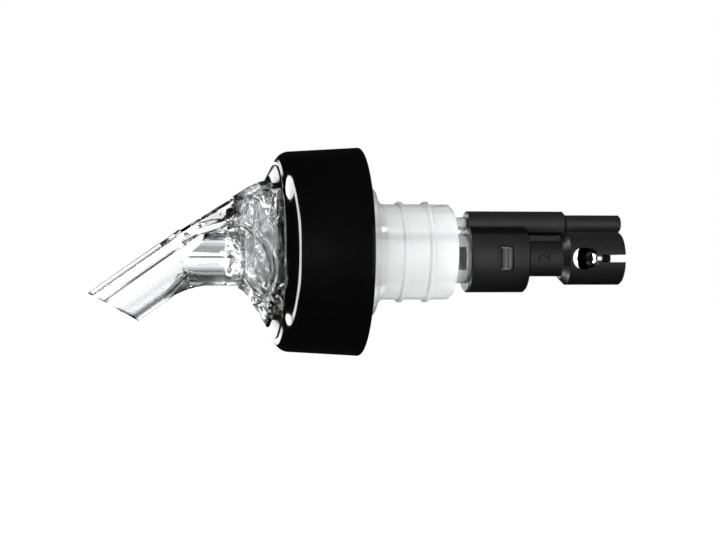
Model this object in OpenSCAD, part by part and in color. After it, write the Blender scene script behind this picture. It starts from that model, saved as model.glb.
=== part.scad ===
// Measured liquor pourer: clear spout, black collar, finned cork, black metering tail, three balls.
// X runs from the spout to the tail, Z is up as it pours, the origin is midway between the fins.
// Stations named _x are millimetres along X from the seat on the bottle's rim.

/* [Cork] */
// Radius of the cork's plain body
cork_r = 9.6; // [9.3:0.1:10]
// Length of the cork from the rim seat to its end
cork_len = 16.2; // [15:0.1:20]
// Thickness of the flange that sits on the bottle's rim
cork_flange_t = 2.6; // [1.5:0.1:4]
// Radius of that flange
cork_flange_r = 12.8; // [12.4:0.1:14]
// Radius where the flare leaves the flange
cork_flare_r = 11.6; // [11:0.1:12]
// Length of the flare under the flange
cork_flare_len = 1.8; // [1:0.1:2.5]
// Wall of the hollow cork
cork_wall = 1.7; // [1.4:0.1:1.8]
// Thickness of the cork's floor under the rim seat
cork_floor_t = 2; // [1.5:0.1:3]
// Bevel on the cork's end
cork_bevel = 0.8; // [0.4:0.1:1.2]
// Station of the first fin
fin_x = 5.6; // [4:0.1:6]
// Distance from the first fin to the second
fin_pitch = 5.3; // [4:0.1:7]
// How far a fin stands out of the cork
fin_h = 0.55; // [0.3:0.05:0.8]
// Width of a fin's round land
fin_land = 0.6; // [0.4:0.1:1]
// Width of a fin at its root
fin_root = 1.4; // [1.2:0.1:2]

/* [Collar] */
// Length of the collar with the spout's flange in its front
collar_len = 18.7; // [16:0.1:24]
// Radius of the collar at its back rim
collar_back_r = 20.95; // [20.2:0.05:22]
// Radius of the collar's front corner before it is rounded
collar_front_r = 19.95; // [19:0.05:20.5]
// How far the front slopes back from its flat land to that corner
collar_slope = 2.75; // [1.5:0.05:4]
// Rounding of the front corner
collar_round = 2.8; // [1:0.1:3]
// Rounding of the back rim's outer edge
collar_rim_round = 0.5; // [0.3:0.1:0.8]
// Width of the flat land round the spout's flange
collar_land = 0.4; // [0.3:0.1:0.8]
// Wall of the collar behind its web
collar_wall = 2.4; // [1.8:0.1:3]
// Thickness of the web that carries the spout
collar_web_t = 2.5; // [1.5:0.1:5]
// Radius of the hub that backs the cork
collar_hub_r = 11.5; // [10:0.1:13]

/* [Spout] */
// Radius where the bell and the air hood meet the flange
flange_r = 14.7; // [14:0.1:15.2]
// Radius of the flange's sloped skirt, which lies in the collar's front
skirt_r = 17.4; // [16.8:0.1:17.6]
// Thickness of that flange
flange_t = 1.8; // [1.7:0.1:2.5]
// Width of the solid rim round the hollow base
flange_rim = 1.9; // [1.5:0.1:2.5]
// Distance from the flange's front to the bend
bend_reach = 16.7; // [16:0.1:18]
// Angle of the pour tube below the liquid axis
pour_angle = 35; // [30:1:40]
// Length of the pour tube's axis from the bend to the tip
pour_len = 16.9; // [14:0.1:24]
// Outer radius of the pour tube
pour_r = 5.1; // [4.7:0.05:5.2]
// Wall of the pour tube
pour_wall = 1.3; // [1:0.05:1.4]
// Angle of the slanted tip from square
tip_cut = 26; // [15:1:32]
// Top of the divider above the pour tube's axis
divider_top = 1.8; // [1.6:0.05:2.1]
// Thickness of the divider between liquid and air
divider_t = 1.6; // [1.2:0.05:1.8]
// Outer radius of the spout's straight liquid tube
throat_tube_r = 5.45; // [5.2:0.05:5.6]
// Bore radius of that tube
throat_bore_r = 3.9; // [3.8:0.05:4]
// Radius of the bell where it leaves the tube
bell_throat_r = 6.85; // [6.7:0.05:7.1]
// Slope of the bell's flare
bell_angle = 57.5; // [52:0.5:62]
// Fillet between tube and flare
bell_fillet = 4.6; // [3:0.1:6]
// Wall of the hollow base
base_wall = 1.35; // [1.1:0.05:1.5]
// Half width of the air hood at its narrow end
hood_throat = 2.9; // [2.8:0.1:3.3]
// How far the hood stays inside the flange's edge
hood_edge = 0.15; // [0.1:0.05:0.8]
// Slope of the hood's sides, seen from above
hood_side_angle = 63; // [58:0.5:68]
// Slope of the hood's top line
hood_angle = 32; // [29:0.5:34]
// How far ahead of the flange the hood's top line reaches the flange's radius
hood_lead = 0.8; // [0.4:0.1:1.2]
// Rounding of the hood's top line at the flange
hood_round = 12; // [8:0.5:16]
// Outer radius of the air duct under that line
duct_r = 2.6; // [2.4:0.05:2.7]
// How far the duct lies under the hood's top line
duct_drop = 0.25; // [0.2:0.05:0.4]
// Bore radius of the air duct
duct_bore_r = 1.3; // [1.1:0.05:1.4]
// Thickness of the web between duct and liquid tube
spout_web_t = 1.6; // [1:0.1:2.4]
// Radius of the round underside of the bend
wedge_fillet = 18; // [12:0.5:20]
// How far that underside sinks into the tubes that it joins
wedge_sink = 0.15; // [0.1:0.05:0.3]
// Length of the vent notch on the pour tube
vent_len = 2.2; // [1.5:0.1:3]
// Width of the vent notch
vent_w = 2; // [1.4:0.1:2.4]

/* [Stem] */
// Height of the liquid axis over the cork's axis
liquid_z = -1.3; // [-1.5:0.05:-1.2]
// Height of the air axis over the cork's axis
air_z = 5.74; // [5.7:0.01:5.85]
// Outer radius of the liquid stem
stem_r = 5; // [4.9:0.05:5.05]
// Outer radius of the air stem
air_stem_r = 1.3; // [1.2:0.05:1.35]
// Bore radius of the air stem
air_stem_bore_r = 0.75; // [0.6:0.05:0.9]
// Thickness of the disc that closes the spout's base
disc_t = 1.6; // [1.2:0.1:2.5]
// Length of the spigot that enters the spout
spigot_len = 3; // [2:0.1:4]
// Radius of the liquid way ahead of the seat
seat_bore_r = 2.6; // [2.3:0.05:2.7]
// How far the seat lies ahead of the cork's end
seat_inset = 5.2; // [4.8:0.1:7]
// Length of the stem between cork and sleeve
stem_gap = 3; // [2.6:0.1:5]
// Width of an inlet port along the stem
port_len = 2.2; // [1.5:0.1:2.4]
// Height of an inlet port
port_h = 4.6; // [3:0.1:6]

/* [Metering tail] */
// Length of the sleeve over the stem
sleeve_len = 12.2; // [11:0.1:16]
// Outer radius of the sleeve
sleeve_r = 6.9; // [6.7:0.05:7.2]
// Thickness of the sleeve's rear wall
sleeve_floor_t = 1.3; // [1:0.1:2]
// Space from the stem's end to that wall
stem_end_gap = 1.3; // [0.8:0.1:2]
// Bevel on the sleeve's and the cage's edges
edge_bevel = 0.35; // [0.2:0.05:0.5]
// Length of a snap window along the sleeve
window_len = 2.6; // [2.2:0.1:3]
// Height of a snap window
window_h = 4.6; // [3.5:0.1:5.5]
// Space from the sleeve's front to a snap window
window_x = 6.1; // [5.5:0.1:6.4]
// Ribs on a snap lug
lug_ribs = 3; // [2:1:4]
// How far a snap lug stays under the sleeve's surface
lug_sink = 0.7; // [0.4:0.05:0.9]
// Outer radius of the neck
neck_r = 3.65; // [3.5:0.05:3.9]
// Bore radius of the neck
neck_bore_r = 2.2; // [1.8:0.05:2.3]
// Length of neck that shows
neck_len = 7.45; // [5:0.05:10]
// Length of neck inside the cage
neck_lap = 1.3; // [1.2:0.1:2.6]
// Length of the ball cage
cage_len = 12.75; // [12.5:0.05:18]
// Outer radius of the ball cage
cage_r = 5.38; // [5.2:0.02:5.7]
// Thickness of the cage's end wall
cage_end_t = 2.2; // [1.5:0.1:3]
// Radius of the drain hole in that wall
drain_r = 1.5; // [1.2:0.05:2]
// Width of the slot from a cage window to the end
slot_w = 1.5; // [1:0.05:2]
// Length of a cage window
cage_window_len = 5.5; // [4.8:0.1:6]
// Height of a cage window
cage_window_h = 4.4; // [3.6:0.1:4.6]
// Space from the neck's end to a cage window
cage_window_gap = 0.3; // [0.2:0.1:1]
// Outer radius of the wide air tube
wide_air_r = 2.53; // [2.45:0.01:2.65]
// Outer radius of the narrow air tube
narrow_air_r = 1.8; // [1.7:0.05:2]
// Bore radius of the narrow air tube
narrow_air_bore_r = 0.9; // [0.7:0.05:1]
// How far the wide air tube runs past the cage's front
air_step = 0.9; // [0.6:0.1:2]
// Length of the narrow tube's spigot
air_spigot_len = 2.5; // [2:0.1:4]
// How far the air stem enters the wide air tube
air_lap = 2.6; // [1.5:0.1:4]
// Thickness of the webs under the air tubes
tail_web_t = 1.6; // [1:0.1:2.4]

/* [Balls] */
// Radius of the timing ball
timing_ball_r = 3.97; // [3.85:0.01:4]
// Radius of the pilot ball
pilot_ball_r = 3.5; // [3.4:0.01:3.55]
// Radius of the air ball
air_ball_r = 1.5; // [1.42:0.01:1.52]

/* [Fits] */
// Radial clearance of tubes pushed into their sockets
push_fit = 0.05; // [0.02:0.01:0.1]
// Radial clearance round the stem in collar and sleeve
stem_fit = 0.1; // [0.05:0.01:0.15]
// Radial clearance of the timing ball in its bore
timing_fit = 0.13; // [0.08:0.01:0.2]
// Radial clearance of the pilot ball in its cage
pilot_fit = 0.2; // [0.15:0.01:0.3]
// Radial clearance of the air ball in its tube
air_fit = 0.1; // [0.08:0.01:0.15]
// Space left between a ball and its stop
stop_gap = 0.05; // [0.02:0.01:0.1]
// Space round a lug in its window
lug_fit = 0.3; // [0.2:0.05:0.4]

/* [Hidden] */
$fn = 96;
// Steps along a rounded stretch of an outline
round_steps = 10;
// Cuts run past the faces that they open by this much
over = 1;
// Ball seats are cones of this slope
seat_angle = 45;
// Origin: midway between the fins
grip_x = fin_x + fin_pitch / 2;

// Collar, spout and stem disc
collar_back_x = -cork_flange_t;
collar_front_x = collar_back_x - collar_len;
disc_front_x = collar_front_x + flange_t;
web_front_x = disc_front_x + disc_t;
web_back_x = web_front_x + collar_web_t;
recess_r = skirt_r + stem_fit;
bend_x = collar_front_x - bend_reach;
bore_r = pour_r - pour_wall;
divider_low = divider_top - divider_t;
base_x = bend_x + 2 * throat_tube_r;
hood_r = flange_r - hood_edge;
hood_back_x = collar_front_x + flange_t / 2;
hood_left_x = base_x - over;

// Metering stations
sleeve_x = cork_len + stem_gap;
sleeve_back_x = sleeve_x + sleeve_len;
sleeve_floor_x = sleeve_back_x - sleeve_floor_t;
stem_end_x = sleeve_floor_x - stem_end_gap;
cage_x = sleeve_back_x + neck_len;
neck_end_x = cage_x + neck_lap;
cage_end_x = cage_x + cage_len;
cage_floor_x = cage_end_x - cage_end_t;
air_step_x = cage_x + air_step;
air_socket_x = sleeve_x + air_lap + 2 * stem_fit;
air_stop_x = air_step_x - air_spigot_len;
timing_bore_r = timing_ball_r + timing_fit;
cage_bore_r = pilot_ball_r + pilot_fit;
air_bore_r = air_ball_r + air_fit;
seat_x = cork_len - seat_inset;
lug_len = window_len - 2 * lug_fit;
lug_h = window_h - 2 * lug_fit;
lug_reach = sleeve_r - lug_sink;

// A ball of radius r, held at a round edge of radius e, has its centre this far from the edge
function edge_stand(r, e) = sqrt(r * r - e * e);
// Ball centres at rest, against their rear stops
timing_x = sleeve_floor_x - edge_stand(timing_ball_r, neck_bore_r) - stop_gap;
pilot_x = cage_floor_x - edge_stand(pilot_ball_r, drain_r) - stop_gap;
air_x = air_stop_x - edge_stand(air_ball_r, narrow_air_bore_r) - stop_gap;

// Outline helpers: a and b are the ends of the two sides that meet in corner c
function toward(a, b) = (b - a) / norm(b - a);
function half_corner(a, c, b) = acos(toward(c, a) * toward(c, b)) / 2;
function round_start(a, c, b, r) = c + toward(c, a) * r / tan(half_corner(a, c, b));
function round_centre(a, c, b, r) =
    let (m = toward(c, a) + toward(c, b))
    c + m / norm(m) * r / sin(half_corner(a, c, b));

// Points along that rounding, from its start on the side of a to its end on the side of b
function round_points(a, c, b, r) =
    let (o = round_centre(a, c, b, r),
         p = round_start(a, c, b, r) - o,
         q = round_start(b, c, a, r) - o,
         from = atan2(p[1], p[0]),
         turn = atan2(p[0] * q[1] - p[1] * q[0], p * q))
    [for (i = [0 : round_steps]) o + r * [cos(from + turn * i / round_steps), sin(from + turn * i / round_steps)]];

module in_frame() {
    translate([-grip_x, 0, 0]) children();
}

// Round bar along X from x0 to x1, at height z
module bar(x0, x1, r, z = 0) {
    translate([x0, 0, z]) rotate([0, 90, 0]) cylinder(h = x1 - x0, r = r);
}

// Cone along X from radius r0 at x0 to radius r1 at x1, at height z
module cone(x0, x1, r0, r1, z = 0) {
    translate([x0, 0, z]) rotate([0, 90, 0]) cylinder(h = x1 - x0, r1 = r0, r2 = r1);
}

// Box along X from x0 to x1 and from z0 to z1, of width w
module slab(x0, x1, z0, z1, w) {
    translate([x0, -w / 2, z0]) cube([x1 - x0, w, z1 - z0]);
}

// Outlines drawn as [radius, x] are turned about X
module turned(z = 0) {
    translate([0, 0, z]) rotate([0, 90, 0]) rotate_extrude() children();
}

// Outlines drawn as [x, z] are given a thickness in Y
module plate(t) {
    rotate([90, 0, 0]) linear_extrude(height = t, center = true) children();
}

// Frame of the pour tube: local Z runs to the tip, local X is its upper side
module along_pour() {
    translate([bend_x, 0, liquid_z]) rotate([0, 270 - pour_angle, 0]) children();
}

// The front's slope, shared by the flange's skirt and the collar: its station at radius r
function front_x(r) = collar_front_x + collar_slope * (r - flange_r) / (collar_front_r - flange_r);

// The hood's top line: its station at radius r
function hood_x(r) = collar_front_x - hood_lead - (flange_r - r) / tan(hood_angle);
// The air duct's axis: from the middle of the air channel at the bend to its upper end under that line
duct_low_z = liquid_z + (divider_top + bore_r) / 2;
duct_top_x = hood_x(flange_r);
duct_top_z = flange_r - (duct_r + duct_drop) / cos(hood_angle);
duct_angle = atan2(duct_top_z - duct_low_z, duct_top_x - bend_x);
function duct_axis_z(x) = duct_low_z + (x - bend_x) * tan(duct_angle);

// Bar along the duct's axis between stations x0 and x1
module duct_bar(x0, x1, r) {
    translate([x0, 0, duct_axis_z(x0)]) rotate([0, 90 - duct_angle, 0])
        cylinder(h = (x1 - x0) / cos(duct_angle), r = r);
}

// One side of a flare from a narrow throat, ahead of its rounding, to a rim at the flange, inset by a wall
function flare_side(throat, rim, angle, inset) =
    let (low = throat - inset,
         rim_x = collar_front_x + inset / sin(angle),
         corner = [low, rim_x - (rim - low) / tan(angle)],
         left = corner - [0, 2 * (bell_fillet + inset)],
         top = [rim, rim_x])
    concat([left], round_points(left, corner, top, bell_fillet + inset), [top]);

// Bell and flange: the flare turned about the cork's axis, its back at station x1
module bell(inset, x1) {
    side = flare_side(bell_throat_r, flange_r, bell_angle, inset);
    turned() difference() {
        polygon(concat([[0, side[0][1]]], side, [[flange_r, x1], [0, x1]]));
        translate([-over, base_x + inset - bend_reach]) square([2 * flange_r, bend_reach]);
    }
}

// Sloped skirt round the flange
module skirt() {
    turned() polygon([[flange_r - flange_rim / 2, disc_front_x], [flange_r - flange_rim / 2, collar_front_x],
                      [flange_r, collar_front_x], [skirt_r, front_x(skirt_r)], [skirt_r, disc_front_x]]);
}

// Plan of the air hood: a flare to both sides, drawn as [x, y]
module hood_plan(inset, x1) {
    side = concat(flare_side(hood_throat, hood_r, hood_side_angle, inset), [[hood_r, x1]]);
    difference() {
        polygon(concat([for (p = side) [p[1], p[0]]],
                       [for (i = [len(side) - 1 : -1 : 0]) [side[i][1], -side[i][0]]]));
        translate([hood_left_x + inset - bend_reach, -flange_r]) square([bend_reach, 2 * flange_r]);
    }
}

// Round envelope under the hood's top line, rounded over towards the flange
module hood_envelope(inset, x1) {
    shift = inset / sin(hood_angle);
    low = [0, hood_x(0) + shift];
    corner = [hood_r, hood_x(hood_r) + shift];
    top = [hood_r, corner[1] + hood_round];
    turned() difference() {
        polygon(concat([low], round_points(low, corner, top, hood_round), [top, [0, top[1]]]));
        translate([-over, x1]) square([hood_r + 2 * over, 2 * hood_round]);
    }
}

// Air hood over the bell, its back at station x1
module hood(inset, x1) {
    intersection() {
        hood_envelope(inset, x1 + over);
        translate([0, 0, liquid_z]) linear_extrude(height = 2 * flange_r) hood_plan(inset, x1);
    }
}

// Pour tube with its slanted tip
module pour_tube() {
    tip_over = 2 * pour_r * tan(tip_cut);
    along_pour() difference() {
        translate([0, 0, -duct_r]) cylinder(h = pour_len + tip_over + duct_r, r = pour_r);
        translate([0, 0, pour_len]) rotate([0, -tip_cut, 0])
            translate([-2 * pour_r, -2 * pour_r, 0]) cube(4 * pour_r);
    }
}

// Round underside of the bend: the pour tube swept about the fillet's centre
module bend_underside() {
    tube = throat_tube_r - wedge_sink;
    pour = pour_r - wedge_sink;
    elbow = [bend_x + pour * sin(pour_angle) - (tube - pour * cos(pour_angle)) / tan(pour_angle),
             liquid_z - tube];
    right = elbow + [wedge_fillet, 0];
    left = elbow - wedge_fillet * [cos(pour_angle), sin(pour_angle)];
    centre = round_centre(left, elbow, right, wedge_fillet);
    translate([centre[0], 0, centre[1]]) rotate([90, 0, 0]) rotate([0, 0, 90])
        rotate_extrude(angle = pour_angle) translate([wedge_fillet + pour, 0]) circle(r = pour);
}

// Flat web that ties the air duct to the liquid tube
module spout_web() {
    plate(spout_web_t)
        polygon([[bend_x, liquid_z], [bend_x, duct_axis_z(bend_x)],
                 [duct_top_x, duct_top_z], [duct_top_x, liquid_z]]);
}

// Liquid way: D-shaped pour channel under the divider, and the straight bore behind it
module spout_liquid_way() {
    reach = bend_reach + flange_t;
    along_pour() intersection() {
        translate([0, 0, -over]) cylinder(h = 2 * pour_len, r = bore_r);
        translate([divider_low - 2 * pour_r, -pour_r, -2 * over])
            cube([2 * pour_r, 2 * pour_r, 3 * pour_len]);
    }
    intersection() {
        bar(bend_x - over, disc_front_x + over, throat_bore_r, liquid_z);
        along_pour() translate([divider_low - 2 * reach, -pour_r, -2 * reach])
            cube([2 * reach, 2 * pour_r, 4 * reach]);
    }
}

// Air way: channel over the divider, duct up to the hollow base, and the vent notch
module spout_air_way() {
    along_pour() intersection() {
        translate([0, 0, -duct_bore_r]) cylinder(h = 2 * pour_len, r = bore_r);
        translate([divider_top, -pour_r, -pour_r]) cube([pour_r, 2 * pour_r, 3 * pour_len]);
    }
    duct_bar(bend_x - duct_bore_r, duct_top_x - base_wall, duct_bore_r);
    along_pour() translate([divider_top, -vent_w / 2, 0]) cube([pour_r, vent_w, vent_len]);
}

// Hollow behind the bell, open at the flange's back, round the liquid tube
module spout_hollow() {
    difference() {
        intersection() {
            union() {
                bell(base_wall, disc_front_x + over);
                hood(base_wall, disc_front_x + 2 * over);
            }
            bar(bend_x, disc_front_x + over, flange_r - flange_rim);
        }
        bar(bend_x, disc_front_x + 2 * over, throat_tube_r, liquid_z);
    }
}

module spout() {
    color([0.93, 0.95, 0.96, 0.45]) in_frame() difference() {
        union() {
            bell(0, disc_front_x);
            skirt();
            hood(0, hood_back_x);
            bar(bend_x, hood_back_x, throat_tube_r, liquid_z);
            pour_tube();
            bend_underside();
            duct_bar(bend_x, duct_top_x, duct_r);
            spout_web();
        }
        spout_hollow();
        spout_liquid_way();
        spout_air_way();
    }
}

// Holes for the liquid stem and the air stem, each with a clearance
module stem_holes(x0, x1, fit) {
    bar(x0, x1, stem_r + fit, liquid_z);
    bar(x0, x1, air_stem_r + fit, air_z);
}

// Snap lug on one side of the stem's end, with upright ribs
module snap_lug(side) {
    rib_pitch = lug_len / (2 * lug_ribs - 1);
    x0 = sleeve_x + window_x + lug_fit;
    rib_h = lug_sink / 2;
    mirror([0, side, 0]) translate([x0, 0, liquid_z - lug_h / 2]) {
        translate([0, timing_bore_r + push_fit, 0])
            cube([lug_len, lug_reach - timing_bore_r - push_fit, lug_h]);
        for (i = [0 : lug_ribs - 1])
            translate([2 * i * rib_pitch, stem_r, 0]) cube([rib_pitch, lug_reach + rib_h - stem_r, lug_h]);
    }
}

module stem() {
    port_x = cork_len + (stem_gap - port_len) / 2;
    seat_len = (timing_bore_r - seat_bore_r) / tan(seat_angle);
    spigot_x = disc_front_x - spigot_len;
    color([0.9, 0.93, 0.95, 0.45]) in_frame() difference() {
        union() {
            bar(disc_front_x, web_front_x, skirt_r);
            bar(spigot_x, web_front_x, throat_bore_r - push_fit, liquid_z);
            bar(disc_front_x, stem_end_x, stem_r, liquid_z);
            bar(disc_front_x, sleeve_x + air_lap, air_stem_r, air_z);
            for (side = [0, 1]) snap_lug(side);
        }
        bar(spigot_x - over, seat_x + over, seat_bore_r, liquid_z);
        cone(seat_x, seat_x + seat_len, seat_bore_r, timing_bore_r, liquid_z);
        bar(seat_x + seat_len, stem_end_x + over, timing_bore_r, liquid_z);
        bar(disc_front_x - over, sleeve_x + air_lap + over, air_stem_bore_r, air_z);
        slab(port_x, port_x + port_len, liquid_z - port_h / 2, liquid_z + port_h / 2, 3 * stem_r);
    }
}

module collar() {
    land_r = recess_r + collar_land;
    land = [land_r, front_x(land_r)];
    corner = [collar_front_r, front_x(collar_front_r)];
    back = [collar_back_r, collar_back_x];
    inner_front_r = collar_front_r - collar_wall
        + (collar_back_r - collar_front_r) * (web_back_x - corner[1]) / (collar_back_x - corner[1]);
    color([0.03, 0.03, 0.035]) in_frame() difference() {
        turned() {
            difference() {
                polygon(concat([[0, land[1]], land, corner],
                               round_points(corner, back, [0, collar_back_x], collar_rim_round),
                               [[0, collar_back_x]]));
                difference() {
                    polygon([round_start(land, corner, back, collar_round), corner,
                             round_start(back, corner, land, collar_round)]);
                    translate(round_centre(land, corner, back, collar_round)) circle(r = collar_round);
                }
            }
        }
        bar(collar_front_x - over, web_front_x, recess_r);
        difference() {
            turned() polygon([[0, web_back_x], [inner_front_r, web_back_x],
                              [collar_back_r - collar_wall, collar_back_x],
                              [collar_back_r - collar_wall, collar_back_x + over],
                              [0, collar_back_x + over]]);
            bar(web_back_x - over, collar_back_x, collar_hub_r);
        }
        stem_holes(collar_front_x, collar_back_x + over, stem_fit);
    }
}

// One fin: a ridge with sloped sides and a round land
module fin(x) {
    turned() polygon([[cork_r - cork_wall / 2, x - fin_root / 2], [cork_r, x - fin_root / 2],
                      [cork_r + fin_h, x - fin_land / 2], [cork_r + fin_h, x + fin_land / 2],
                      [cork_r, x + fin_root / 2], [cork_r - cork_wall / 2, x + fin_root / 2]]);
}

module cork() {
    color([0.9, 0.92, 0.92, 0.8]) in_frame() difference() {
        union() {
            turned() polygon([[0, collar_back_x], [cork_flange_r, collar_back_x], [cork_flange_r, 0],
                              [cork_flare_r, 0], [cork_r, cork_flare_len], [cork_r, cork_len - cork_bevel],
                              [cork_r - cork_bevel, cork_len], [0, cork_len]]);
            for (i = [0, 1]) fin(fin_x + i * fin_pitch);
        }
        bar(cork_floor_t, cork_len + over, cork_r - cork_wall);
        stem_holes(collar_back_x - over, cork_floor_t + over, push_fit);
    }
}

// Round bar with bevelled ends
module bevelled_bar(x0, x1, r, z) {
    turned(z) polygon([[0, x0], [r - edge_bevel, x0], [r, x0 + edge_bevel],
                       [r, x1 - edge_bevel], [r - edge_bevel, x1], [0, x1]]);
}

module chamber() {
    seat_len = (neck_r - neck_bore_r) / 2 / tan(seat_angle);
    color([0.05, 0.05, 0.055]) in_frame() difference() {
        union() {
            bevelled_bar(sleeve_x, sleeve_back_x, sleeve_r, liquid_z);
            bar(sleeve_floor_x, neck_end_x, neck_r, liquid_z);
            bevelled_bar(sleeve_x, air_step_x, wide_air_r, air_z);
            slab(sleeve_floor_x, cage_x - push_fit, liquid_z, air_z, tail_web_t);
        }
        bar(sleeve_x - over, sleeve_floor_x, stem_r + stem_fit, liquid_z);
        bar(sleeve_floor_x - over, neck_end_x + over, neck_bore_r, liquid_z);
        cone(neck_end_x - seat_len, neck_end_x, neck_bore_r, (neck_r + neck_bore_r) / 2, liquid_z);
        bar(sleeve_x - over, air_socket_x + over, air_stem_r + push_fit, air_z);
        bar(air_socket_x, air_step_x + over, air_bore_r, air_z);
        slab(sleeve_x + window_x, sleeve_x + window_x + window_len,
             liquid_z - window_h / 2, liquid_z + window_h / 2, 3 * sleeve_r);
    }
}

// Long cage window through both walls, with its slot to the end
module cage_window() {
    x0 = neck_end_x + cage_window_gap + cage_window_h / 2;
    x1 = neck_end_x + cage_window_gap + cage_window_len - cage_window_h / 2;
    width = 3 * cage_r;
    for (x = [x0, x1])
        translate([x, 0, liquid_z]) rotate([90, 0, 0])
            cylinder(h = width, r = cage_window_h / 2, center = true);
    slab(x0, x1, liquid_z - cage_window_h / 2, liquid_z + cage_window_h / 2, width);
    slab(x1, cage_end_x + over, liquid_z - slot_w / 2, liquid_z + slot_w / 2, width);
}

module tail_cage() {
    front_r = (cage_bore_r + neck_r) / 2 + 2 * push_fit + edge_bevel;
    cone_end_x = cage_x + (cage_r - front_r) / tan(seat_angle);
    color([0.05, 0.05, 0.055]) in_frame() difference() {
        union() {
            difference() {
                turned(liquid_z) polygon([[0, cage_x], [front_r, cage_x], [cage_r, cone_end_x],
                                          [cage_r, cage_end_x - edge_bevel],
                                          [cage_r - edge_bevel, cage_end_x], [0, cage_end_x]]);
                bar(cage_x - over, air_step_x + push_fit, wide_air_r + push_fit, air_z);
            }
            bevelled_bar(air_step_x, cage_end_x, narrow_air_r, air_z);
            bar(air_stop_x, air_step_x + over, air_bore_r - push_fit, air_z);
            slab(cone_end_x, cage_end_x - edge_bevel, liquid_z, air_z, tail_web_t);
        }
        bar(cage_x - over, cage_floor_x, cage_bore_r, liquid_z);
        bar(cage_floor_x - over, cage_end_x + over, drain_r, liquid_z);
        bar(air_stop_x - over, cage_end_x + over, narrow_air_bore_r, air_z);
        cage_window();
    }
}

module ball(x, z, r) {
    color([0.8, 0.8, 0.82]) in_frame() translate([x, 0, z]) sphere(r = r);
}
module timing_ball() {
    ball(timing_x, liquid_z, timing_ball_r);
}
module pilot_ball() {
    ball(pilot_x, liquid_z, pilot_ball_r);
}
module air_ball() {
    ball(air_x, air_z, air_ball_r);
}

spout();
stem();
collar();
cork();
chamber();
tail_cage();
timing_ball();
pilot_ball();
air_ball();
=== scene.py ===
"""Looks of a measured liquor pourer: clear spout, gloss collar, frosted cork, satin tail."""
import math

import bpy
from mathutils import Matrix, Vector


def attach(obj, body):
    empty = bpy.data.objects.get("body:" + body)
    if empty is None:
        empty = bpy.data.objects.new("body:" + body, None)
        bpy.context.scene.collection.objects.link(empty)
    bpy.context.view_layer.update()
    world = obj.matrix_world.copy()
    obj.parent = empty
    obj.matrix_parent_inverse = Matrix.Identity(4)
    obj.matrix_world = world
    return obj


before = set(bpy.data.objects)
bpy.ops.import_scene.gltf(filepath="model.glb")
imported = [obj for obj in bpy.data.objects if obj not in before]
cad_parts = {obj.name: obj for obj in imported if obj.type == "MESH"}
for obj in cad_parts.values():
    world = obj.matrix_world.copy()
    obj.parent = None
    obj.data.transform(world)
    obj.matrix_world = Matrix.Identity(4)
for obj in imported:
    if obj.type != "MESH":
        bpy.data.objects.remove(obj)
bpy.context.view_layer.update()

bl_info = {
    "name": "Measured Pourer Looks",
    "version": (1, 0, 0),
    "blender": (4, 5, 0),
    "location": "View3D > Sidebar > Pourer",
    "description": "Dresses a measured liquor pourer and sets its studio",
    "category": "Object",
}

MM = 0.001
WHITE = (1.0, 1.0, 1.0, 1.0)

# Places on the pieces are in millimetres. Two numbers say where a mask starts and is full,
# four say where it starts, is full, fades and ends. Tints multiply the colour under a mask.
BELL_START = (-38.5, -36.0)
BELL_HAZE = 0.2
RIPPLE_DEPTH = 1.1
SKIRT_RADIUS = (14.4, 15.2)
SKIRT_HEIGHT = (12.0, 13.5)

# The hood's lower end gets painted shade in the clear plastic's colour; its ripples are a bump.
HOOD_SPAN = (-43.8, -42.6, -36.0, -34.0)
HOOD_SLOPE = 0.311
HOOD_HEIGHT = 17.8
HOOD_EDGE = (0.0, 0.4)
HOOD_RIPPLE = 0.15
HOOD_SHADE_TINT = 0.08

CREASE_MIDDLE = (-39.2, -3.6)
CREASE_RING = (9.3, 9.75, 9.75, 10.2)
CREASE_FOOT = (-12.0, -9.0)
CREASE_LEVEL = 0.6

# The pour tube: its tip's rim, divider and wedge at the bend get painted shade in the clear
# plastic's colour.
BEND = (-46.25, -1.3)
POUR_ANGLE = math.radians(35.0)
POUR_LENGTH = 16.9
TIP_CUT = math.radians(26.0)
TIP_RIM = (-0.5, -0.35)
TIP_RIM_SHADE = 0.4

DIVIDER_THICK = (1.4, 1.5, 2.1, 2.2)
DIVIDER_SIDE = (4.3, 4.2)
DIVIDER_START = (0.0, 1.0)
DIVIDER_SHADE = 0.03

WEDGE_TOP_SLOPE = -0.166
WEDGE_TOP_DROP = 3.92
WEDGE_TOP_EDGE = (0.0, 0.2)
WEDGE_FRONT_SLOPE = 0.853
WEDGE_FRONT_DROP = 4.0
WEDGE_FRONT_EDGE = (0.4, 0.6)
WEDGE_END = (-39.0, -40.5)
WEDGE_SHADE = 0.12

# Painted shade: dark lines in the bore behind the bend: low edge, high edge, tint
BORE_SIDE = (4.4, 4.2)
BORE_SPAN = (-46.0, -45.0, -37.0, -35.0)
BORE_SHADE_LINES = ((-0.4, 1.2, 0.45), (-1.3, -0.9, 0.08), (-5.0, -3.4, 0.4))
BORE_LINE_EDGE = 0.15

# Painted shade on the stem's lugs, their ribs and the stem's far end.
LUG_START = (0.0, 1.0)
LUG_SIDE = (5.0, 5.1)
LUG_SHADE = 0.12
RIB_STARTS = (17.1, 18.4)
RIB_EDGES = (0.0, 0.1, 0.35, 0.45)
RIB_SHADE = 0.1
BARE_STEM_START = (8.5, 10.0)
BARE_STEM_SHADE = 0.7

# Painted shade: soft bands round the cork where the stem's tubes inside show through: low edge,
# high edge, tint
CORK_SHADE_BANDS = ((7.8, 9.2, 0.88), (2.4, 3.6, 0.86), (-7.0, -6.1, 0.95))
CORK_SHADE_OUTER = 0.6
CORK_SHADE_INNER = 0.2

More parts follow.
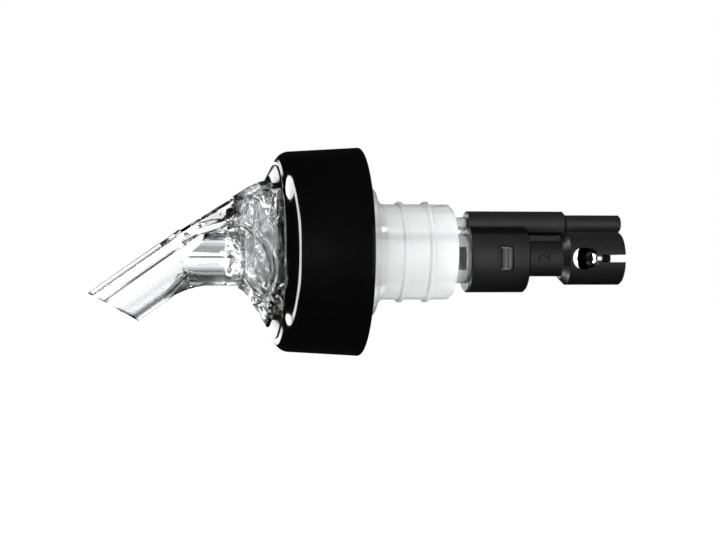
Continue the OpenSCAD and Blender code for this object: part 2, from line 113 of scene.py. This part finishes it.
# Painted shade on the tail, along it and in height, with a tint: web, groove, window frame
PAINTED_TAIL_SHADES = (
    ((22.5, 23.2, 30.5, 31.0), (2.0, 2.4, 3.8, 4.4), 0.1),
    ((10.5, 11.0, 23.2, 23.6), (3.4, 3.9, 4.8, 5.2), 0.03),
    ((16.3, 16.5, 19.3, 19.5), (-3.95, -3.75, 1.2, 1.4), 0.05),
)
# Painted shade on the tail's underside: heights where it starts and is full, and its tint.
TAIL_UNDERSIDE_SHADE = (4.0, -7.0)
TAIL_UNDERSIDE_SHADE_TINT = 0.3

# Lamps: name, direction from the pourer, spread in degrees, strength
LAMPS = (
    ("front_fill", (0.2, -0.98, 0.0), 8.0, 4.0),
    ("back_fill", (0.7, 0.71, 0.0), 8.0, 2.8),
    ("top_light", (-0.3, -0.35, 0.89), 20.0, 0.9),
)
FLOOR_GLOW = 0.66
FLOOR_COLOUR = (0.8, 0.8, 0.8, 1.0)
SENSOR_WIDTH = 36.0
CLIP_START = 0.01

# Edges of the lights that gloss shows, as parts of a direction or as angles
STRIP_SOFTNESS = 1.3
STRIP_FRONT = (-0.1, 0.1)
OVAL_EDGE = (1.1, 0.85)
SWEEP_TILT = (math.radians(58.0), math.radians(61.0))
SWEEP_TURN = (math.radians(56.0), math.radians(62.0))
WINDOW_SIDE = (0.18, 0.22, 0.6, 0.75)
WINDOW_HEIGHT = (0.5, 0.35)
WINDOW_FRONT = (0.2, 0.35)


class PourerStage(bpy.types.PropertyGroup):
    """Camera, floor and studio lights."""

    aim: bpy.props.FloatVectorProperty(
        name="Aim", description="Point that the camera looks at",
        default=(-10.95 * MM, 0.0, -3.65 * MM), subtype="TRANSLATION", unit="LENGTH", precision=5)
    azimuth: bpy.props.FloatProperty(
        name="Azimuth", description="Turn of the camera from the front towards the tail",
        default=math.radians(-9.5), subtype="ANGLE", unit="ROTATION")
    elevation: bpy.props.FloatProperty(
        name="Elevation", description="Height of the camera as an angle",
        default=math.radians(0.0), subtype="ANGLE", unit="ROTATION")
    distance: bpy.props.FloatProperty(
        name="Distance", description="From the camera to the aim",
        default=0.44, subtype="DISTANCE", unit="LENGTH")
    lens: bpy.props.FloatProperty(
        name="Lens", description="Focal length of the camera",
        default=110.0, subtype="DISTANCE_CAMERA", unit="CAMERA")
    floor_drop: bpy.props.FloatProperty(
        name="Floor drop", description="From the pourer's axis down to the floor",
        default=80 * MM, subtype="DISTANCE", unit="LENGTH")
    floor_size: bpy.props.FloatProperty(
        name="Floor size", description="Width of the floor",
        default=8.0, subtype="DISTANCE", unit="LENGTH")

    glass_top: bpy.props.FloatVectorProperty(
        name="Ceiling in glass",
        description="Heights where the sweep that glass shows starts to fade and is dark",
        default=(0.38, 0.55), size=2)
    glass_bottom: bpy.props.FloatVectorProperty(
        name="Ground in glass",
        description="Depths where the sweep that glass shows fades, is dark, and is white again",
        default=(0.3, 0.42, 0.95, 0.985), size=4)
    glass_dark: bpy.props.FloatProperty(
        name="Dark in glass",
        description="Level of the dark ceiling and ground that glass shows", default=0.22)
    strip_place: bpy.props.FloatVectorProperty(
        name="Strip place",
        description="How far left the strip light stands at the side, and how much less in front",
        default=(0.473, 0.327), size=2)
    strip_width: bpy.props.FloatProperty(
        name="Strip width",
        description="Half width of the strip light, as a direction", default=0.085)
    strip_level: bpy.props.FloatProperty(
        name="Strip level", description="Level of the strip light in gloss", default=16.0)
    upper_blob: bpy.props.FloatVectorProperty(
        name="Upper blob",
        description="Place on the collar's corner of the upper round light: turn, tilt",
        default=(math.radians(48.5), math.radians(40.0)), size=2)
    upper_spread: bpy.props.FloatVectorProperty(
        name="Upper spread",
        description="Half height and half width of the upper round light, as angles",
        default=(math.radians(9.3), math.radians(19.0)), size=2)
    lower_blob: bpy.props.FloatVectorProperty(
        name="Lower blob",
        description="Place on the collar's corner of the lower round light: turn, tilt",
        default=(math.radians(134.5), math.radians(42.0)), size=2)
    lower_spread: bpy.props.FloatVectorProperty(
        name="Lower spread",
        description="Half height and half width of the lower round light, as angles",
        default=(math.radians(4.5), math.radians(16.0)), size=2)
    sweep_level: bpy.props.FloatProperty(
        name="Sweep level",
        description="Level of the white sweep behind, on the left, in gloss", default=4.0)
    window_level: bpy.props.FloatProperty(
        name="Window level",
        description="Level of the soft window in front, on the right, in gloss", default=1.2)
    ambient: bpy.props.FloatProperty(
        name="Ambient", description="Level of the soft light from all round", default=0.18)
    dark: bpy.props.FloatProperty(
        name="Dark level", description="Level of the studio's dark walls", default=0.01)


class PourerColours(bpy.types.PropertyGroup):
    """Colours of the finishes."""

    clear: bpy.props.FloatVectorProperty(
        name="Clear plastic", description="Tint of the spout and the stem",
        default=(0.97, 0.98, 0.985), subtype="COLOR", size=3)
    gloss: bpy.props.FloatVectorProperty(
        name="Gloss black", description="Colour of the collar",
        default=(0.002, 0.002, 0.0023), subtype="COLOR", size=3)
    frost: bpy.props.FloatVectorProperty(
        name="Frosted cork", description="Colour of the translucent cork",
        default=(0.97, 0.975, 0.975), subtype="COLOR", size=3)
    satin: bpy.props.FloatVectorProperty(
        name="Satin black", description="Colour of the metering tail",
        default=(0.0105, 0.0105, 0.011), subtype="COLOR", size=3)
    steel: bpy.props.FloatVectorProperty(
        name="Steel", description="Colour of the polished balls",
        default=(0.8, 0.8, 0.82), subtype="COLOR", size=3)


class PourerNumeral(bpy.types.PropertyGroup):
    """Raised portion numeral."""

    text: bpy.props.StringProperty(
        name="Numeral", description="Portion that the pourer measures", default="2")
    size: bpy.props.FloatProperty(
        name="Size", description="Size of the numeral's type",
        default=3.6 * MM, subtype="DISTANCE", unit="LENGTH")
    reach: bpy.props.FloatProperty(
        name="Reach", description="How far the numeral reaches to each side of its plane",
        default=0.18 * MM, subtype="DISTANCE", unit="LENGTH")
    place: bpy.props.FloatVectorProperty(
        name="Place", description="Middle of the numeral, on the tail's neck",
        default=(26.8 * MM, -3.6 * MM, -1.15 * MM), subtype="TRANSLATION", unit="LENGTH")


class Field:
    """A number that varies over a surface or over the sky, worked out by math nodes."""

    def __init__(self, tree, socket):
        self.tree = tree
        self.socket = socket

    def math(self, operation, *values):
        """Result of a math node for fields and plain numbers."""
        node = self.tree.nodes.new("ShaderNodeMath")
        node.operation = operation
        for socket, value in zip(node.inputs, values):
            if isinstance(value, Field):
                value.feed(socket)
            else:
                socket.default_value = value
        return Field(self.tree, node.outputs[0])

    def __add__(self, other):
        return self.math("ADD", self, other)

    def __sub__(self, other):
        return self.math("SUBTRACT", self, other)

    def __rsub__(self, other):
        return self.math("SUBTRACT", other, self)

    def __mul__(self, other):
        return self.math("MULTIPLY", self, other)

    def __truediv__(self, other):
        return self.math("DIVIDE", self, other)

    def __neg__(self):
        return self * -1.0

    def __abs__(self):
        return self.math("ABSOLUTE", self)

    def ramp(self, low, high):
        """Smooth step from 0 at low to 1 at high."""
        step = add_node(self.tree, "ShaderNodeMapRange", From_Min=low, From_Max=high)
        step.interpolation_type = "SMOOTHSTEP"
        self.feed(step.inputs["Value"])
        return Field(self.tree, step.outputs["Result"])

    def band(self, start, full, fade, end):
        """1 between full and fade, and 0 outside start and end."""
        return self.ramp(start, full) * self.ramp(end, fade)

    def feed(self, socket):
        """Links the field to an input."""
        self.tree.links.new(self.socket, socket)


def largest(first, *others):
    """The largest of some fields and plain numbers, point by point."""
    for other in others:
        first = first.math("MAXIMUM", first, other)
    return first


def length_of(first, second):
    """Length of a flat vector from its two parts."""
    square = first * first + second * second
    return square.math("SQRT", square)


def add_node(tree, kind, **inputs):
    """A node of a tree, with plain values set on its inputs."""
    node = tree.nodes.new(kind)
    for name, value in inputs.items():
        node.inputs[name.replace("_", " ")].default_value = value
    return node


def object_vector(tree):
    """Object coordinates in a tree, as a vector socket."""
    return tree.nodes.new("ShaderNodeTexCoord").outputs["Object"]


def parts_of(tree, vector):
    """The three parts of a vector socket, as fields."""
    parts = tree.nodes.new("ShaderNodeSeparateXYZ")
    tree.links.new(vector, parts.inputs["Vector"])
    return [Field(tree, part) for part in parts.outputs]


def place_in(material):
    """Object coordinates over a material, as three fields in millimetres."""
    tree = material.node_tree
    return [part / MM for part in parts_of(tree, object_vector(tree))]


def rays(tree, *kinds):
    """Fields that are 1 for rays of the given kinds."""
    path = tree.nodes.new("ShaderNodeLightPath")
    return [Field(tree, path.outputs[f"Is {kind} Ray"]) for kind in kinds]


def new_group(name, inputs, outputs):
    """An empty shader group with float inputs, given as name and default, and outputs by kind."""
    group = bpy.data.node_groups.new(name, "ShaderNodeTree")
    for label, default in inputs.items():
        socket = group.interface.new_socket(label, in_out="INPUT", socket_type="NodeSocketFloat")
        socket.default_value = default
    for label, kind in outputs.items():
        group.interface.new_socket(label, in_out="OUTPUT", socket_type=kind)
    return group, group.nodes.new("NodeGroupInput"), group.nodes.new("NodeGroupOutput")


def moulded_grain():
    """Group: fine mould texture as a height, and slow flow marks as a mask."""
    name = "Moulded grain"
    if name in bpy.data.node_groups:
        return bpy.data.node_groups[name]
    group, start, end = new_group(
        name, {"Grain Scale": 9000.0, "Flow Scale": 160.0},
        {"Height": "NodeSocketFloat", "Flow": "NodeSocketFloat"})
    link = group.links.new
    vector = object_vector(group)
    grain = add_node(group, "ShaderNodeTexNoise", Detail=3.0, Roughness=0.6)
    flow = add_node(group, "ShaderNodeTexNoise", Detail=2.0, Roughness=0.5, Distortion=0.8)
    link(vector, grain.inputs["Vector"])
    link(vector, flow.inputs["Vector"])
    link(start.outputs["Grain Scale"], grain.inputs["Scale"])
    link(start.outputs["Flow Scale"], flow.inputs["Scale"])
    link(grain.outputs["Fac"], end.inputs["Height"])
    link(flow.outputs["Fac"], end.inputs["Flow"])
    return group


def grained_material(name, colours, roughness, grain_scale, bump, flow_scale):
    """Principled material whose colour and roughness follow the flow marks, with a fine grain."""
    material = bpy.data.materials.new(name)
    material.use_nodes = True
    tree = material.node_tree
    link = tree.links.new
    shader = tree.nodes["Principled BSDF"]
    grain = tree.nodes.new("ShaderNodeGroup")
    grain.node_tree = moulded_grain()
    grain.inputs["Grain Scale"].default_value = grain_scale
    grain.inputs["Flow Scale"].default_value = flow_scale
    tint = tree.nodes.new("ShaderNodeValToRGB")
    for stop, colour in zip(tint.color_ramp.elements, colours):
        stop.color = (*colour, 1.0)
    sheen = add_node(tree, "ShaderNodeMapRange", To_Min=roughness[0], To_Max=roughness[1])
    relief = add_node(tree, "ShaderNodeBump", Strength=bump, Distance=0.02 * MM)
    link(grain.outputs["Flow"], tint.inputs["Fac"])
    link(tint.outputs["Color"], shader.inputs["Base Color"])
    link(grain.outputs["Flow"], sheen.inputs["Value"])
    link(sheen.outputs["Result"], shader.inputs["Roughness"])
    link(grain.outputs["Height"], relief.inputs["Height"])
    link(relief.outputs["Normal"], shader.inputs["Normal"])
    return material, shader


def shade(colour, factor):
    """A colour made darker or lighter."""
    return tuple(min(1.0, part * factor) for part in colour)


def darken(shader, mask, factor):
    """Multiplies a shader's colour by a factor where a mask is 1."""
    link = mask.tree.links.new
    source = shader.inputs["Base Color"].links[0].from_socket
    tint = mask.tree.nodes.new("ShaderNodeMix")
    tint.data_type = "RGBA"
    tint.blend_type = "MULTIPLY"
    tint.inputs["B"].default_value = (factor, factor, factor, 1.0)
    mask.feed(tint.inputs["Factor"])
    link(source, tint.inputs["A"])
    link(tint.outputs["Result"], shader.inputs["Base Color"])


def bell_mask(x, y, z):
    """The bell, without the smooth skirt at its top and bottom."""
    skirt = length_of(y, z).ramp(*SKIRT_RADIUS) * abs(z).ramp(*SKIRT_HEIGHT)
    return x.ramp(*BELL_START) * (1.0 - skirt)


def hood_mask(x, z):
    """Lower end of the air hood, above a slanted line."""
    above = z - x * HOOD_SLOPE - HOOD_HEIGHT
    return above.ramp(*HOOD_EDGE) * x.band(*HOOD_SPAN)


def crease_ridge(x, z):
    """Height of the round ridge where hood and bell meet."""
    from_middle = length_of(x - CREASE_MIDDLE[0], z - CREASE_MIDDLE[1])
    return from_middle.band(*CREASE_RING) * z.ramp(*CREASE_FOOT) * CREASE_LEVEL


def ripple_bell(shader, ripples, ridge):
    """Haze and a waved surface where a mask of ripples says so, under the fine grain."""
    tree = ripples.tree
    plain = Field(tree, shader.inputs["Roughness"].links[0].from_socket)
    largest(plain, ripples * BELL_HAZE).feed(shader.inputs["Roughness"])
    noise = add_node(tree, "ShaderNodeTexNoise",
                     Scale=300.0, Detail=1.5, Roughness=0.5, Distortion=0.6)
    tree.links.new(object_vector(tree), noise.inputs["Vector"])
    waves = add_node(tree, "ShaderNodeBump", Strength=1.0, Distance=RIPPLE_DEPTH * MM)
    ((Field(tree, noise.outputs["Fac"]) + ridge) * ripples).feed(waves.inputs["Height"])
    grain = shader.inputs["Normal"].links[0].from_node
    tree.links.new(waves.outputs["Normal"], grain.inputs["Normal"])


def paint_tube_shade(shader, x, y, z):
    """Painted shade: dark lines in the colour where the pour tube's inner walls show dark: divider,
    cut tip, wedge at the bend.
    """
    back, rise = x - BEND[0], z - BEND[1]
    across = rise * math.cos(POUR_ANGLE) - back * math.sin(POUR_ANGLE)
    along = -(back * math.cos(POUR_ANGLE) + rise * math.sin(POUR_ANGLE))

    # Painted shade: dark lines in the colour for the divider, the cut tip and the wedge.
    divider = across.band(*DIVIDER_THICK) * abs(y).ramp(*DIVIDER_SIDE)
    darken(shader, divider * along.ramp(*DIVIDER_START), DIVIDER_SHADE)

    past_cut = (along - POUR_LENGTH) * math.cos(TIP_CUT) - across * math.sin(TIP_CUT)
    darken(shader, past_cut.ramp(*TIP_RIM), TIP_RIM_SHADE)

    below = back * WEDGE_TOP_SLOPE - (rise + WEDGE_TOP_DROP)
    behind = back - (rise + WEDGE_FRONT_DROP) * WEDGE_FRONT_SLOPE
    wedge = below.ramp(*WEDGE_TOP_EDGE) * behind.ramp(*WEDGE_FRONT_EDGE) * x.ramp(*WEDGE_END)
    darken(shader, wedge, WEDGE_SHADE)


def paint_bore_shade(shader, x, y, z):
    """Painted shade: dark lines in the colour along the bore between the bend and the bell."""
    bore = abs(y).ramp(*BORE_SIDE) * x.band(*BORE_SPAN)
    # Painted shade: each line darkens the colour of the bore.
    for low, high, tint in BORE_SHADE_LINES:
        line = z.band(low - BORE_LINE_EDGE, low, high, high + BORE_LINE_EDGE)
        darken(shader, bore * line, tint)


def clear_spout(colour):
    """Clear plastic with a rippled bell, painted shade that greys the hood's lower end, and painted
    shade for the dark lines of the tube's inner walls.
    """
    material, shader = grained_material(
        "clear_spout", colours=(shade(colour, 0.985), colour), roughness=(0.0, 0.02),
        grain_scale=900.0, bump=0.02, flow_scale=90.0)
    shader.inputs["IOR"].default_value = 1.53
    shader.inputs["Transmission Weight"].default_value = 1.0
    x, y, z = place_in(material)
    hood = hood_mask(x, z)
    # Painted shade: the hood's lower end is darkened in the clear plastic's colour.
    darken(shader, hood, HOOD_SHADE_TINT)
    ripple_bell(shader, largest(bell_mask(x, y, z), hood * HOOD_RIPPLE), crease_ridge(x, z))
    paint_tube_shade(shader, x, y, z)
    paint_bore_shade(shader, x, y, z)
    return material


def milky_stem(colour):
    """Clear plastic with a slight milkiness, with painted shade on the ribbed lugs and over the
    stem's far end.
    """
    material, shader = grained_material(
        "milky_stem", colours=(shade(colour, 0.97), colour), roughness=(0.02, 0.08),
        grain_scale=900.0, bump=0.03, flow_scale=90.0)
    shader.inputs["IOR"].default_value = 1.5
    shader.inputs["Transmission Weight"].default_value = 0.66
    x, y, _ = place_in(material)
    lug = x.ramp(*LUG_START) * abs(y).ramp(*LUG_SIDE)
    # Painted shade: the lugs are darkened in the clear plastic's colour.
    darken(shader, lug, LUG_SHADE)
    ribs = largest(*(x.band(*(start + edge for edge in RIB_EDGES)) for start in RIB_STARTS))
    # Painted shade: dark stripes for the ribs on the lugs.
    darken(shader, lug * ribs, RIB_SHADE)
    # Painted shade: the stem's far end, inside the black tail, is darkened.
    darken(shader, x.ramp(*BARE_STEM_START), BARE_STEM_SHADE)
    return material


def gloss_black(colour):
    """Black plastic with a high gloss."""
    material, shader = grained_material(
        "gloss_black", colours=(shade(colour, 0.8), shade(colour, 1.2)), roughness=(0.05, 0.09),
        grain_scale=700.0, bump=0.03, flow_scale=120.0)
    shader.inputs["IOR"].default_value = 1.5
    return material


def frosted_cork(colour):
    """Frosted plastic that lets light through, with soft grey bands of painted shade where the
    stem's tubes inside would show.
    """
    material, shader = grained_material(
        "frosted_cork", colours=(shade(colour, 0.97), colour), roughness=(0.36, 0.42),
        grain_scale=2600.0, bump=0.15, flow_scale=200.0)
    shader.inputs["IOR"].default_value = 1.12
    shader.inputs["Transmission Weight"].default_value = 0.68
    shader.inputs["Specular IOR Level"].default_value = 0.1
    _, _, z = place_in(material)
    # Painted shade: each band darkens the cork's colour.
    for low, high, tint in CORK_SHADE_BANDS:
        band = z.band(low - CORK_SHADE_OUTER, low + CORK_SHADE_INNER,
                      high - CORK_SHADE_INNER, high + CORK_SHADE_OUTER)
        darken(shader, band, tint)
    return material


def satin_black(colour):
    """Black plastic with a satin face, with painted shade in its grooves, on its web and window
    frames, and towards its underside.
    """
    material, shader = grained_material(
        "satin_black", colours=(shade(colour, 0.75), shade(colour, 1.35)), roughness=(0.3, 0.38),
        grain_scale=6000.0, bump=0.08, flow_scale=260.0)
    shader.inputs["IOR"].default_value = 1.5
    shader.inputs["Specular IOR Level"].default_value = 0.25
    x, _, z = place_in(material)
    # Painted shade in the web, the groove and round the window frames.
    for along, height, tint in PAINTED_TAIL_SHADES:
        darken(shader, x.band(*along) * z.band(*height), tint)
    # Painted shade: the colour grows darker towards the underside.
    darken(shader, z.ramp(*TAIL_UNDERSIDE_SHADE), TAIL_UNDERSIDE_SHADE_TINT)
    return material


def matt_black(colour):
    """Dull face of the raised numeral."""
    material, shader = grained_material(
        "matt_black", colours=(shade(colour, 0.1), shade(colour, 0.2)), roughness=(0.6, 0.7),
        grain_scale=6000.0, bump=0.1, flow_scale=400.0)
    shader.inputs["Specular IOR Level"].default_value = 0.1
    return material


def polished_steel(colour):
    """Bright steel of the balls."""
    material, shader = grained_material(
        "polished_steel", colours=(shade(colour, 0.95), colour), roughness=(0.04, 0.1),
        grain_scale=5000.0, bump=0.02, flow_scale=600.0)
    shader.inputs["Metallic"].default_value = 1.0
    return material


def dress(nodes, material):
    """Gives CAD nodes a material."""
    for name in nodes:
        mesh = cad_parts[name].data
        mesh.materials.clear()
        mesh.materials.append(material)


class POURER_OT_clear_pieces(bpy.types.Operator):
    """Spout in clear plastic and stem in milky plastic"""

    bl_idname = "pourer.clear_pieces"
    bl_label = "Clear Pieces"

    def execute(self, context):
        dress(("spout",), clear_spout(context.scene.pourer_colours.clear))
        dress(("stem",), milky_stem(context.scene.pourer_colours.clear))
        return {"FINISHED"}


class POURER_OT_collar(bpy.types.Operator):
    """Collar in gloss black plastic"""

    bl_idname = "pourer.collar"
    bl_label = "Collar"

    def execute(self, context):
        dress(("collar",), gloss_black(context.scene.pourer_colours.gloss))
        return {"FINISHED"}


class POURER_OT_cork(bpy.types.Operator):
    """Cork in frosted, flexible plastic"""

    bl_idname = "pourer.cork"
    bl_label = "Cork"

    def execute(self, context):
        dress(("cork",), frosted_cork(context.scene.pourer_colours.frost))
        return {"FINISHED"}


class POURER_OT_tail(bpy.types.Operator):
    """Metering chamber and tail cage in satin black plastic"""

    bl_idname = "pourer.tail"
    bl_label = "Metering Tail"

    def execute(self, context):
        dress(("chamber", "tail_cage"), satin_black(context.scene.pourer_colours.satin))
        return {"FINISHED"}


class POURER_OT_numeral(bpy.types.Operator):
    """Raised portion numeral on the neck of the metering tail"""

    bl_idname = "pourer.numeral"
    bl_label = "Portion Numeral"

    def execute(self, context):
        settings = context.scene.pourer_numeral
        bpy.ops.object.select_all(action="DESELECT")
        turn = Matrix(((0.0, -1.0, 0.0), (0.0, 0.0, -1.0), (1.0, 0.0, 0.0))).to_euler()
        bpy.ops.object.text_add(location=settings.place, rotation=turn)
        numeral = context.active_object
        numeral.data.body = settings.text
        numeral.data.size = settings.size
        numeral.data.align_x = "CENTER"
        numeral.data.align_y = "CENTER"
        numeral.data.extrude = settings.reach
        bpy.ops.object.convert(target="MESH")
        numeral = context.active_object
        numeral.name = "portion_numeral"
        bpy.ops.object.transform_apply(location=True, rotation=True, scale=True)
        numeral.data.materials.append(matt_black(context.scene.pourer_colours.satin))
        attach(numeral, "pourer")
        return {"FINISHED"}


class POURER_OT_balls(bpy.types.Operator):
    """Three polished steel balls"""

    bl_idname = "pourer.balls"
    bl_label = "Balls"

    def execute(self, context):
        steel = polished_steel(context.scene.pourer_colours.steel)
        dress(("timing_ball", "pilot_ball", "air_ball"), steel)
        return {"FINISHED"}


def camera_side(stage):
    """Direction from the pourer to the camera."""
    return Vector((math.sin(stage.azimuth) * math.cos(stage.elevation),
                   -math.cos(stage.azimuth) * math.cos(stage.elevation),
                   math.sin(stage.elevation)))


def add_camera(stage):
    """Camera at the photograph's viewing angle."""
    back = camera_side(stage)
    bpy.ops.object.camera_add(location=Vector(stage.aim) + back * stage.distance)
    camera = bpy.context.active_object
    camera.rotation_euler = back.to_track_quat("Z", "Y").to_euler()
    camera.data.lens = stage.lens
    camera.data.sensor_width = SENSOR_WIDTH
    camera.data.clip_start = CLIP_START
    bpy.context.scene.camera = camera


def add_sun(name, toward, spread, strength):
    """Soft far lamp in a direction from the pourer, which gloss and glass do not show."""
    bpy.ops.object.light_add(type="SUN", location=Vector(toward))
    lamp = bpy.context.active_object
    lamp.name = name
    lamp.rotation_euler = Vector(toward).to_track_quat("Z", "Y").to_euler()
    lamp.data.angle = spread
    lamp.data.energy = strength
    lamp.visible_glossy = False
    lamp.visible_transmission = False


def floor_paper():
    """White paper that glows to the camera and to dull surfaces, and still takes a shadow."""
    material = bpy.data.materials.new("floor_paper")
    material.use_nodes = True
    tree = material.node_tree
    shader = tree.nodes["Principled BSDF"]
    shader.inputs["Base Color"].default_value = FLOOR_COLOUR
    shader.inputs["Roughness"].default_value = 1.0
    shader.inputs["Specular IOR Level"].default_value = 0.0
    shader.inputs["Emission Color"].default_value = WHITE
    seen = largest(*rays(tree, "Camera", "Diffuse"))
    (seen * FLOOR_GLOW).feed(shader.inputs["Emission Strength"])
    return material


def add_floor(stage):
    """Pale floor under the pourer, which gloss and glass do not show."""
    bpy.ops.object.select_all(action="DESELECT")
    bpy.ops.mesh.primitive_plane_add(
        size=stage.floor_size, location=(0.0, 0.0, -stage.floor_drop))
    floor = bpy.context.active_object
    floor.name = "floor"
    floor.data.materials.append(floor_paper())
    floor.visible_glossy = False
    floor.visible_transmission = False


def facing(tree, vector, view):
    """Turn from the top and tilt to the spout of a surface that mirrors a direction into a view."""
    half = tree.nodes.new("ShaderNodeVectorMath")
    half.operation = "ADD"
    half.inputs[1].default_value = view
    tree.links.new(vector, half.inputs[0])
    unit = tree.nodes.new("ShaderNodeVectorMath")
    unit.operation = "NORMALIZE"
    tree.links.new(half.outputs["Vector"], unit.inputs[0])
    x, y, z = parts_of(tree, unit.outputs["Vector"])
    return y.math("ARCTAN2", -y, z), x.math("ARCSINE", -x)


def oval_light(place, middle, spread):
    """Soft-edged oval of light about a place given by two angles."""
    turn, tilt = ((angle - centre) / reach
                  for angle, centre, reach in zip(place, middle, spread))
    return (turn * turn + tilt * tilt).ramp(*OVAL_EDGE)


def glass_sweep(stage, height):
    """What glass shows: a white sweep between a dark ceiling and a dark band of ground."""
    walls = largest(height.ramp(*stage.glass_top), (-height).band(*stage.glass_bottom))
    return 1.0 - walls * (1.0 - stage.glass_dark)


def gloss_lights(stage, place, side, front, height):
    """What gloss shows: a strip, two round lights, the sweep behind and a window in front."""
    from_strip = abs(side - front * stage.strip_place[1] + stage.strip_place[0])
    strip = from_strip.ramp(STRIP_SOFTNESS * stage.strip_width, stage.strip_width)
    lights = largest(strip * front.ramp(*STRIP_FRONT),
                     oval_light(place, stage.upper_blob, stage.upper_spread),
                     oval_light(place, stage.lower_blob, stage.lower_spread))
    turn, tilt = place
    from_level = abs(turn - math.radians(90.0))
    sweep = tilt.ramp(*SWEEP_TILT) * from_level.ramp(*SWEEP_TURN)
    window = side.band(*WINDOW_SIDE) * abs(height).ramp(*WINDOW_HEIGHT) * front.ramp(*WINDOW_FRONT)
    return largest(lights * stage.strip_level, sweep * stage.sweep_level,
                   window * stage.window_level)


def studio_world(stage):
    """White to the camera; gloss, glass and dull surfaces each see their own studio lights."""
    world = bpy.data.worlds.new("studio")
    bpy.context.scene.world = world
    world.use_nodes = True
    tree = world.node_tree
    background = tree.nodes["Background"]
    background.inputs["Color"].default_value = WHITE
    vector = tree.nodes.new("ShaderNodeTexCoord").outputs["Generated"]
    side, depth, height = parts_of(tree, vector)
    place = facing(tree, vector, camera_side(stage))
    camera, glossy, transmission, diffuse = rays(
        tree, "Camera", "Glossy", "Transmission", "Diffuse")
    strength = largest(camera,
                       glossy * gloss_lights(stage, place, side, -depth, height),
                       transmission * glass_sweep(stage, height),
                       diffuse * stage.ambient,
                       stage.dark)
    strength.feed(background.inputs["Strength"])


class POURER_OT_stage(bpy.types.Operator):
    """Floor, world, lamps and camera"""

    bl_idname = "pourer.stage"
    bl_label = "Stage"

    def execute(self, context):
        stage = context.scene.pourer_stage
        bpy.ops.object.select_all(action="DESELECT")
        studio_world(stage)
        add_camera(stage)
        for name, toward, spread, strength in LAMPS:
            add_sun(name, toward, math.radians(spread), strength)
        add_floor(stage)
        context.scene.view_settings.view_transform = "Standard"
        return {"FINISHED"}


class POURER_PT_panel(bpy.types.Panel):
    """Sidebar panel that lists the pourer's pieces and settings"""

    bl_idname = "POURER_PT_panel"
    bl_label = "Measured Pourer"
    bl_space_type = "VIEW_3D"
    bl_region_type = "UI"
    bl_category = "Pourer"

    def draw(self, context):
        for operator in PIECES:
            self.layout.operator(operator.bl_idname)
        for name, group in GROUPS.items():
            for setting in group.__annotations__:
                self.layout.prop(getattr(context.scene, name), setting)


GROUPS = {
    "pourer_stage": PourerStage,
    "pourer_colours": PourerColours,
    "pourer_numeral": PourerNumeral,
}
PIECES = (
    POURER_OT_clear_pieces,
    POURER_OT_collar,
    POURER_OT_cork,
    POURER_OT_tail,
    POURER_OT_numeral,
    POURER_OT_balls,
    POURER_OT_stage,
)
CLASSES = (*GROUPS.values(), *PIECES, POURER_PT_panel)


def register():
    """Makes the settings, operators and panel known to Blender."""
    for cls in CLASSES:
        bpy.utils.register_class(cls)
    for name, group in GROUPS.items():
        setattr(bpy.types.Scene, name, bpy.props.PointerProperty(type=group))


def unregister():
    """Takes the settings, operators and panel out again."""
    for name in GROUPS:
        delattr(bpy.types.Scene, name)
    for cls in reversed(CLASSES):
        bpy.utils.unregister_class(cls)


def main():
    """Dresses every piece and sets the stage."""
    register()
    bpy.ops.object.select_all(action="DESELECT")
    for operator in PIECES:
        group, name = operator.bl_idname.split(".")
        getattr(getattr(bpy.ops, group), name)()


if __name__ == "__main__":
    main()
